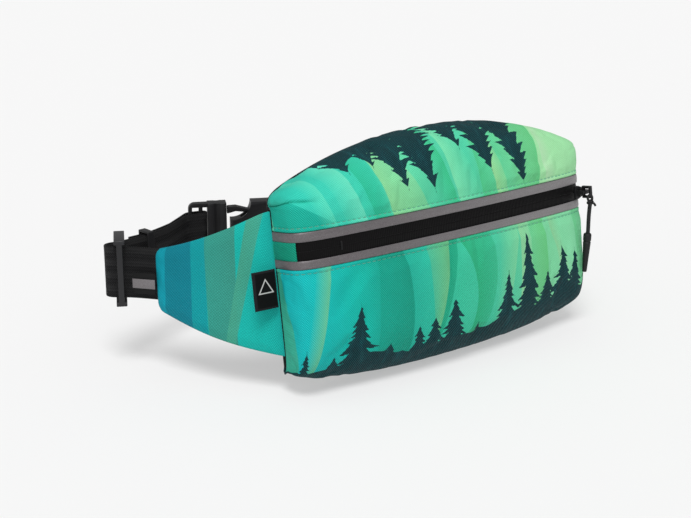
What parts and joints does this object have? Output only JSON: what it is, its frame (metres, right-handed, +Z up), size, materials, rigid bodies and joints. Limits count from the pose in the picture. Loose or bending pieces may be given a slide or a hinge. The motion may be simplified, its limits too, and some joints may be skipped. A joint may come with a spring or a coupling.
{
  "type": "waist pack",
  "caption": "Waist pack with an arched printed fabric pouch, front zip with reflective edging, tapered side wings, webbing belt, tri-glide and side-release buckle.",
  "frame": {"origin": "the middle of the back panel's face, where the pouch lies on the wearer", "axes": "+X towards the closed end of the zip, +Y towards the wearer, +Z up"},
  "size_m": [0.342, 0.1507, 0.1415],
  "materials": {
    "print_fabric": "matte woven polyester with a printed wavy landscape",
    "black_fabric": "matte",
    "foam": "soft",
    "lining": "satin",
    "reflective": "retroreflective satin",
    "zip_black": "satin coated tape",
    "coil_plastic": "satin",
    "slider_metal": "satin black",
    "cord": "braided",
    "grip_plastic": "matte",
    "webbing": "ribbed weave",
    "buckle_plastic": "fine texture"
  },
  "bodies": {
    "pack": {"lower_front_panel": "print_fabric", "upper_front_panel": "print_fabric", "back_panel": "black_fabric", "back_foam": "foam", "lining_lower": "lining", "lining_upper": "lining", "seam_binding_left": "print_fabric", "seam_binding_right": "print_fabric", "reflective_strip_lower": "reflective", "reflective_strip_upper": "reflective", "zip_tape_lower": "zip_black", "zip_tape_upper": "zip_black", "zip_coil_lower": "coil_plastic", "zip_coil_upper": "coil_plastic", "zip_stops": "slider_metal", "zip_end_tab": "print_fabric", "side_label": "black_fabric", "wing_left": "print_fabric", "wing_right": "print_fabric", "wing_pad_left": "black_fabric", "wing_pad_right": "black_fabric", "webbing_left": "webbing", "webbing_adjust": "webbing", "webbing_right": "webbing", "reflective_tab": "webbing", "reflective_stripe": "reflective", "buckle_female": "buckle_plastic"},
    "slider": {"slider_body": "slider_metal"},
    "puller": {"pull_ring": "slider_metal"},
    "cord": {"pull_cord": "cord", "cord_grip": "grip_plastic"},
    "adjuster": {"tri_glide": "buckle_plastic"},
    "keeper": {"strap_keeper": "webbing"},
    "buckle_plug": {"buckle_male": "buckle_plastic"},
    "squeeze_upper": {"prong_upper": "buckle_plastic"},
    "squeeze_lower": {"prong_lower": "buckle_plastic"}
  },
  "joints": [
    {"name": "zip_travel", "type": "hinge", "parent": "pack", "child": "slider", "pos_m": [0, 0.89346, -0.12946], "axis": [0, 0.1609, 0.987], "range_deg": [-11.3, 0]},
    {"name": "pull_swing", "type": "hinge", "parent": "slider", "child": "puller", "pos_m": [0.10724, -0.03211, 0.02145], "axis": [0, 0.1609, 0.987], "range_deg": [-34, 25]},
    {"name": "cord_swing", "type": "hinge", "parent": "puller", "child": "cord", "pos_m": [0.1068, -0.03761, 0.02234], "axis": [0, -1, 0], "range_deg": [0, 45]},
    {"name": "adjuster_slide", "type": "slide", "parent": "pack", "child": "adjuster", "axis": [1, 0, 0], "range_m": [0, 0.006], "deforming": ["webbing_left", "webbing_adjust"]},
    {"name": "keeper_slide", "type": "slide", "parent": "pack", "child": "keeper", "axis": [0.9945, 0.1045, 0], "range_m": [-0.002, 0.008], "deforming": ["webbing_adjust"]},
    {"name": "buckle_release", "type": "slide", "parent": "pack", "child": "buckle_plug", "axis": [-0.891, 0.454, 0], "range_m": [0, 0.02], "deforming": ["webbing_adjust", "prong_upper", "prong_lower"]},
    {"name": "squeeze_upper", "type": "hinge", "parent": "buckle_plug", "child": "squeeze_upper", "pos_m": [-0.08183, 0.09361, 0.01359], "axis": [0.454, 0.891, 0], "range_deg": [0, 10], "stiffness_Nm_per_rad": 0.2},
    {"name": "squeeze_lower", "type": "hinge", "parent": "buckle_plug", "child": "squeeze_lower", "pos_m": [-0.08183, 0.09361, -0.02101], "axis": [0.454, 0.891, 0], "range_deg": [-10, 0], "stiffness_Nm_per_rad": 0.2}
  ],
  "couplings": [
    {"joint": "squeeze_lower", "follows": "squeeze_upper", "ratio": -1}
  ]
}
